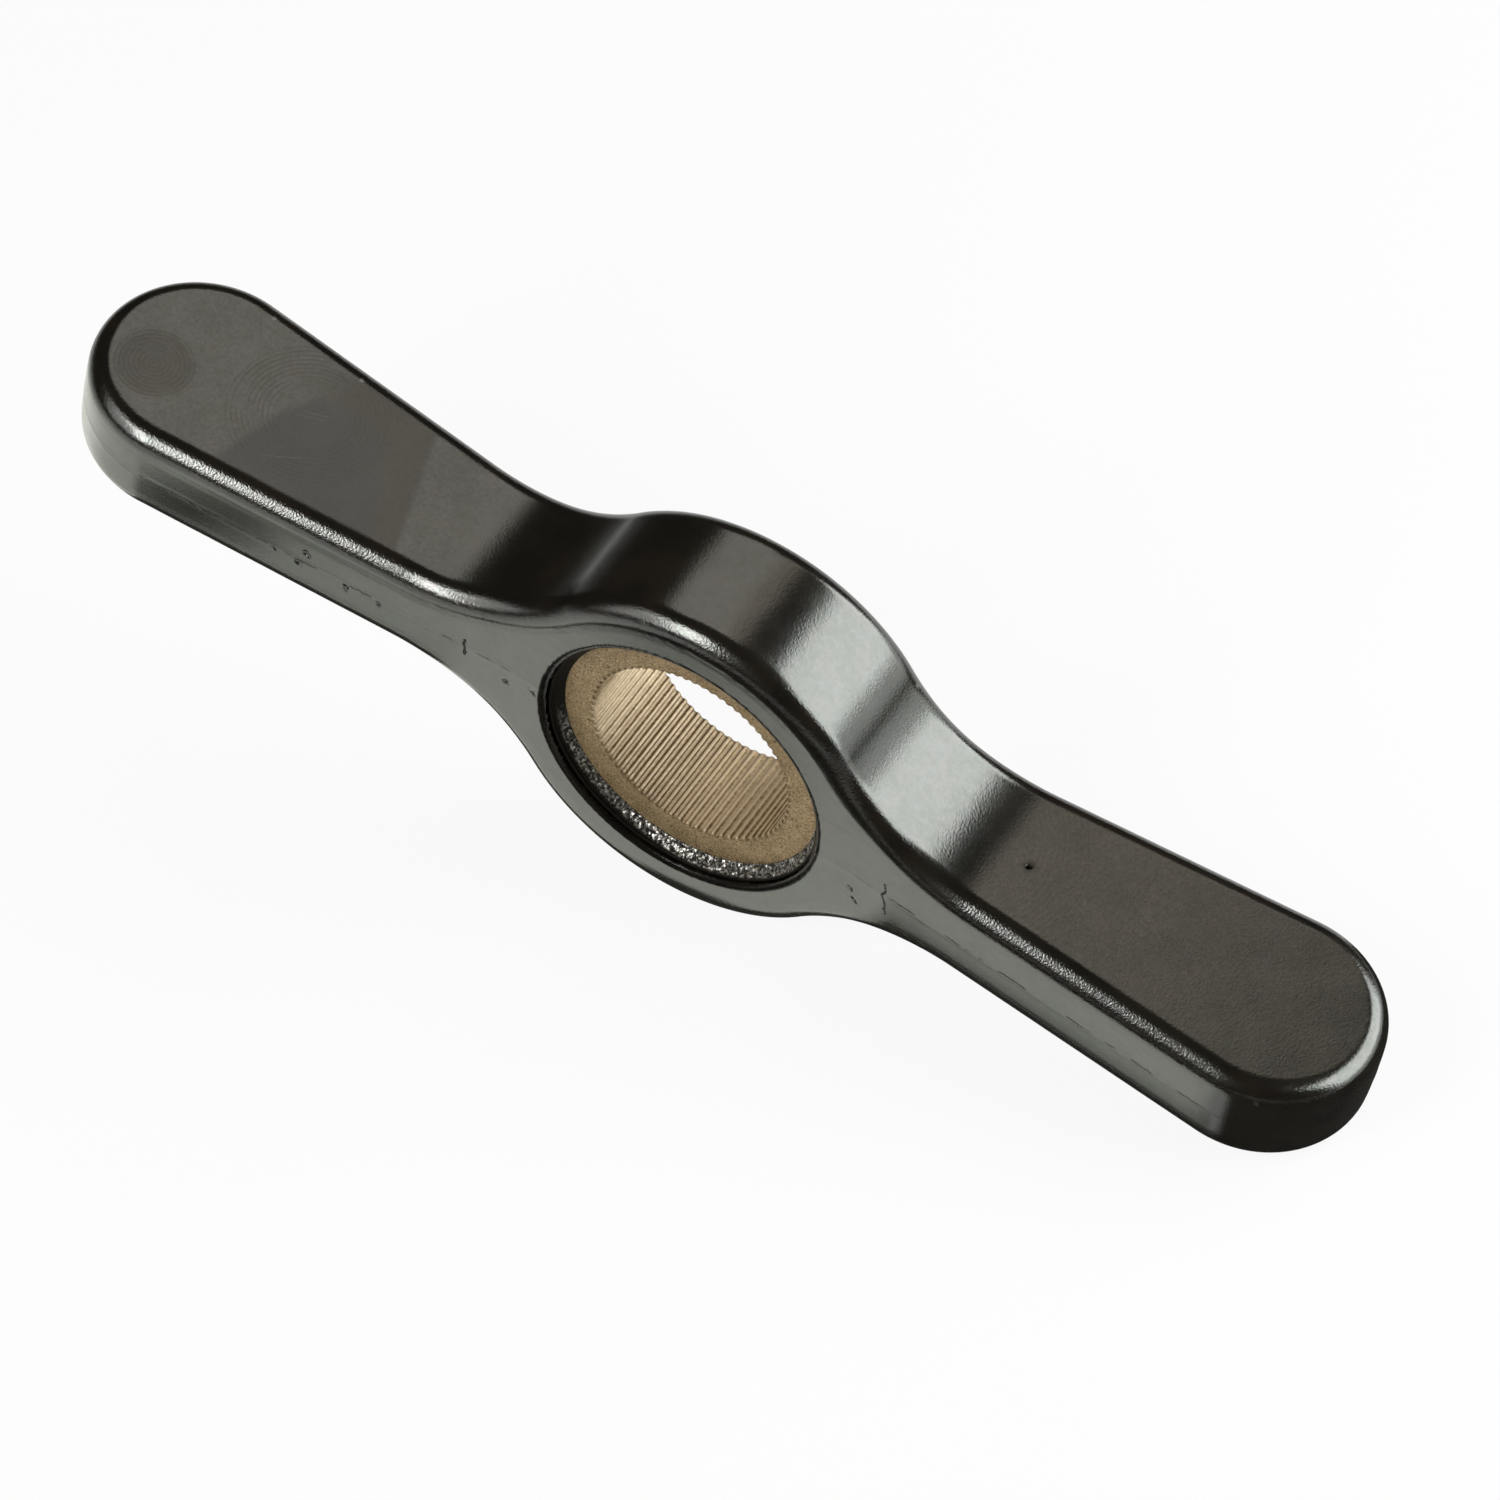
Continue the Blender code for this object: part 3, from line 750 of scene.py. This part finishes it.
def make_bush(material):
    """Bush with rounded teeth of slightly uneven height, broken tooth mouths, pores in its faces and a mark for the
    painted light and shade of its teeth.
    """
    rng = np.random.default_rng(BUSH_SEED)
    around = TEETH * TOOTH_POINTS
    turn = np.arange(around) / around
    tooth = np.arange(around) // TOOTH_POINTS
    uneven = rng.normal(0, TOOTH_UNEVENNESS, TEETH)
    burr = rng.uniform(0.3, 1.0, TEETH)
    off_crest = np.abs((turn * TEETH) % 1 - 0.5)
    crest = 1 - ramp(off_crest, *TOOTH_FLANK)
    # Painted shade along the middle of each flank
    flank_shade = np.exp(-((off_crest - SHADED_FLANK_MIDDLE) / SHADED_FLANK_WIDTH) ** 2)
    wall = ROOT_RADIUS - (ROOT_RADIUS - CREST_RADIUS) * crest - uneven[tooth] * crest
    angle = 2 * math.pi * turn
    front, back = BUSH_MIDDLE - BUSH_HALF, BUSH_MIDDLE + BUSH_HALF
    y_bore = front + (back - front) * (1 - np.cos(np.linspace(0, math.pi, BORE_STATIONS))) / 2
    rows, heights, light_and_shade_rows = [], [], []
    for y in y_bore[::-1]:
        inset = min(y - front, back - y)
        mouth = MOUTH_FLARE * math.exp(-inset / MOUTH_REACH)
        broken = wall + (ROOT_RADIUS - wall) * BROKEN_SHARE * math.exp(-inset / BROKEN_REACH) * burr[tooth]
        rows.append(broken + mouth)
        heights.append(np.full(around, y))
        darker_at_mouths = 1 - (1 - 0.7 * crest) * ramp(inset, *MOUTH_DARKENING_REACH)
        # Mark of painted highlight on the crests and painted shade along the flanks
        light_and_shade_rows.append((0.84 + 0.16 * crest) * (1 - 0.9 * flank_shade) * darker_at_mouths)
    rim = RIM_RADIUS - RIM_LOBE_DEPTH * (0.5 + 0.5 * np.cos(RIM_LOBES * angle)) ** 2
    for y, start, order in ((front, rows[-1], 1), (back, rows[0], -1)):
        for k in np.linspace(0, 1, FACE_STATIONS)[1:][::order]:
            rows.append(start + (rim - start) * k ** FACE_POWER)
            heights.append(np.full(around, y))
            # Darker ring on each face round the bore
            light_and_shade_rows.append(0.5 - (0.45 - 0.30 * crest) * np.exp((start - rows[-1]) / 0.10))
    radius, height, light_and_shade_mark = (np.array(v) for v in (rows, heights, light_and_shade_rows))
    x, z = radius * np.cos(angle), radius * np.sin(angle)
    place = np.stack([x, height, z], -1)
    on_face = (np.arange(len(radius)) >= BORE_STATIONS)[:, None] * ramp(radius, *FACE_RADII)
    inward = np.sign(BUSH_MIDDLE - height)
    grain = np.maximum(0.5 * lattice_noise(place, 0.14, 5) + 0.5 * lattice_noise(place, 0.3, 6), -0.2) + 0.2
    pores = []
    for _ in range(PORES):
        r, a, side = rng.uniform(*PORE_RADII), rng.uniform(0, 2 * math.pi), rng.choice((front, back))
        pores.append(((r * math.cos(a), side, r * math.sin(a)), rng.uniform(*PORE_SIZES)))
    pore = spot_mark(place, pores, *PORE_FADE)
    height = height + inward * on_face * (FACE_GRAIN * grain + PORE_DEPTH * pore)
    radius = radius + (1 - on_face) * BORE_GRAIN * lattice_noise(place, 0.12, 7)
    points = np.stack([radius * np.cos(angle), height, radius * np.sin(angle)], -1).reshape(-1, 3)
    quads = ring_quads(len(radius), around)
    add_piece("splined_bush_surface", points, quads, material, "splined_bush",
              {"crest": light_and_shade_mark.ravel(), "pore": (pore * on_face).ravel()})


# Camera in the row frame: place, lens and sensor in millimetres, and the nearest distance that it sees in metres
EYE = (157.958, -236.172, 329.859)
CAMERA_RIGHT = (0.85669, 0.51442, -0.03809)
CAMERA_DOWN = (0.37075, -0.66541, -0.64789)
CAMERA_FORWARD = (-0.35864, 0.54092, -0.76078)
LENS = 207.24
SENSOR = 36.0
CLIP_START = 0.01


def add_camera():
    data = bpy.data.cameras.new("camera")
    data.lens = LENS
    data.sensor_width = SENSOR
    data.clip_start = CLIP_START
    camera = bpy.data.objects.new("camera", data)
    bpy.context.scene.collection.objects.link(camera)
    columns = [Vector(CAMERA_RIGHT), -Vector(CAMERA_DOWN), -Vector(CAMERA_FORWARD)]
    turn = Matrix(columns).transposed().to_4x4()
    camera.matrix_world = Matrix.Translation(Vector(EYE) * MM) @ turn
    bpy.context.scene.camera = camera


# Soft lights: name, centre and size in millimetres, the brightness of the lit face and its colour
LIGHTS = [
    ("overhead_panel", (-99, 216, 331), (180, 190), 1.08, (1.0, 0.97, 0.89)),
    ("overhead_side", (28, 216, 331), (74, 190), 0.83, (1.0, 0.90, 0.80)),
    ("right_softbox", (167.5, 104.6, 99.1), (254, 150), 5.0, (0.97, 1.0, 1.0)),
    ("right_strip", (169, 105.5, 7), (254, 30), 1.5, (0.97, 1.0, 1.0)),
    ("front_softbox", (-130, -200, 170), (252, 200), 1.4, (1.0, 1.0, 1.0)),
    ("front_core", (-74, -233, 190), (54, 190), 12.5, (1.0, 1.0, 1.0)),
    ("front_fill", (25, -250, 190), (90, 190), 0.15, (1.0, 1.0, 1.0)),
    ("tip_core", (-129, -181, 233), (60, 46), 6.0, (1.0, 1.0, 1.0)),
]
# Cards on the floor that only reflections show, each laid over the ones before it: name, outline, middle and half
# sizes in millimetres, turn in degrees, share of the half sizes that fades, cover and brightness
# Cards of brightness near zero are painted shadow and shade on the floor: the key's shadow (left_card, left_shade),
# its contact shadow under it and round its right tip (bore_card, right_card and the lower and under cards), and
# darker floor further off (rim_card, far_card, back_card). The bright cards (front_card, tip_card) are painted light
# on the floor.
CARDS = [
    ("front_card", "box", (-30, -16), (60, 28), 0.0, 0.04, 1.0, 1.27),
    ("rim_card", "box", (19, -85), (41, 65), 0.0, 0.03, 1.0, 0.01),
    ("right_card", "box", (85, 0), (54.5, 90), 0.0, 0.02, 1.0, 0.04),
    ("far_card", "box", (125, 75), (55, 60), 0.0, 0.3, 1.0, 0.24),
    ("left_card", "oval", (-35.6, -17.8), (7.2, 3.7), 0.0, 0.62, 0.97, 0.03),
    ("left_shade", "box", (-27.5, -20.9), (10.0, 3.2), 0.0, 0.4, 0.6, 0.2),
    ("tip_card", "oval", (-52.0, -1.0), (6.5, 9.5), 0.0, 1.0, 1.0, 1.9),
    ("bore_card", "oval", (-5.1, -12.28), (9.0, 4.72), 21.55, 0.08, 1.0, 0.01),
    ("back_card", "box", (-282, 187), (200, 120), -33.5, 0.12, 0.9, 0.01),
    ("left_lower", "box", (-29.15, -9.0), (10.2, 7.0), 11.1, 0.05, 0.22, 0.02),
    ("left_under", "box", (-30.2, -2.5), (10.5, 10.5), 11.0, 0.035, 0.97, 0.03),
    ("hub_under", "box", (-2.5, -1.7), (15.0, 3.7), 0.0, 0.05, 0.97, 0.03),
    ("right_lower", "box", (18.8, -1.89), (11.3, 7.0), 3.9, 0.04, 0.36, 0.02),
    ("right_under", "box", (20.2, -1.98), (12.0, 6.0), 3.9, 0.05, 0.97, 0.03),
]
CARD_COLOUR = (0.98, 1.0, 0.92)
CARD_GAP = 0.02
WORLD_COLOUR = (0.034, 0.029, 0.024)
FLOOR_WIDTH = 12.0
FLOOR_COLOUR = (0.86, 0.86, 0.85)
FLOOR_GLOW = 0.9
FLOOR_GLOW_REFLECTED = 0.2
FLOOR_FIBRES = 900.0
FLOOR_ROUGHNESS = (0.85, 0.95)


def add_light(name, centre, size, brightness, colour):
    """Hangs a soft light that faces the middle of the key."""
    data = bpy.data.lights.new(name, "AREA")
    data.shape = "RECTANGLE"
    data.size, data.size_y = size[0] * MM, size[1] * MM
    data.energy = brightness * math.pi * data.size * data.size_y
    data.color = colour
    light = bpy.data.objects.new(name, data)
    bpy.context.scene.collection.objects.link(light)
    place = Vector(centre) * MM
    light.location = place
    light.rotation_euler = (-place).to_track_quat("-Z", "Y").to_euler()
    light.visible_camera = False


def add_square(name, half, material):
    """Level square round the origin."""
    mesh = bpy.data.meshes.new(name)
    mesh.from_pydata([(-half, -half, 0), (half, -half, 0), (half, half, 0), (-half, half, 0)], [], [(0, 1, 2, 3)])
    mesh.materials.append(material)
    square = bpy.data.objects.new(name, mesh)
    bpy.context.scene.collection.objects.link(square)
    return square


def add_floor():
    """White floor that shows as white to the camera and in reflections, and still takes the key's shadow."""
    s = Shader("white_floor")
    place = s.node("ShaderNodeTexCoord").outputs["Object"]
    fibre = s.noise(place, FLOOR_FIBRES, 3.0)
    s.put(s.surface.inputs["Base Color"], s.mix(fibre, FLOOR_COLOUR, tuple(c * 0.98 for c in FLOOR_COLOUR)))
    s.put(s.surface.inputs["Roughness"], s.range(fibre, 0.3, 0.7, *FLOOR_ROUGHNESS))
    s.put(s.surface.inputs["Specular IOR Level"], 0.1)
    glow = s.node("ShaderNodeEmission", Color=(1, 1, 1, 1), Strength=1.0).outputs[0]
    path = s.node("ShaderNodeLightPath").outputs
    mirrored = s.math("MAXIMUM", path["Is Glossy Ray"], path["Is Transmission Ray"])
    share = s.math("MAXIMUM", s.both(path["Is Camera Ray"], FLOOR_GLOW), s.both(mirrored, FLOOR_GLOW_REFLECTED))
    mixed = s.node("ShaderNodeMixShader", i0=share, i1=s.surface.outputs[0], i2=glow).outputs[0]
    s.put(s.tree.nodes["Material Output"].inputs["Surface"], mixed)
    floor = add_square("floor", FLOOR_WIDTH / 2, s.material)
    floor.location.z = FLOOR_Z * MM


def add_card(name, number, outline, middle, half, turn, fade, cover, brightness):
    """Lays a flat card with soft sides on the floor, as a square that is stretched to its size."""
    s = Shader(name)
    place = s.node("ShaderNodeTexCoord").outputs["Object"]
    if outline == "oval":
        away = s.vector("LENGTH", place)
    else:
        parts = s.node("ShaderNodeSeparateXYZ", Vector=place).outputs
        away = s.math("MAXIMUM", s.math("ABSOLUTE", parts[0]), s.math("ABSOLUTE", parts[1]))
    share = s.range(away, 1 - fade, 1, cover, 0, True)
    glow = s.node("ShaderNodeEmission", Color=(*CARD_COLOUR, 1), Strength=brightness).outputs[0]
    clear = s.node("ShaderNodeBsdfTransparent").outputs[0]
    mixed = s.node("ShaderNodeMixShader", i0=share, i1=clear, i2=glow).outputs[0]
    s.put(s.tree.nodes["Material Output"].inputs["Surface"], mixed)
    card = add_square(name, 1, s.material)
    card.location = (middle[0] * MM, middle[1] * MM, (FLOOR_Z + CARD_GAP * number) * MM)
    card.rotation_euler.z = math.radians(turn)
    card.scale = (half[0] * MM, half[1] * MM, 1)
    card.visible_camera = card.visible_diffuse = card.visible_shadow = card.visible_transmission = False


def add_world():
    world = bpy.data.worlds.new("studio")
    world.use_nodes = True
    world.node_tree.nodes["Background"].inputs["Color"].default_value = (*WORLD_COLOUR, 1)
    bpy.context.scene.world = world


make_handle(black_coat())
skin = rough_skin()
make_skin("front_counterbore_skin", -HUB_FRONT, 1, skin, FRONT_SEED)
make_skin("back_counterbore_skin", HUB_BACK, -1, skin, BACK_SEED)
make_bush(sintered_bronze())
add_camera()
for light in LIGHTS:
    add_light(*light)
add_floor()
for number, (name, *card) in enumerate(CARDS, 1):
    add_card(name, number, *card)
add_world()
bpy.context.scene.view_settings.view_transform = "Standard"
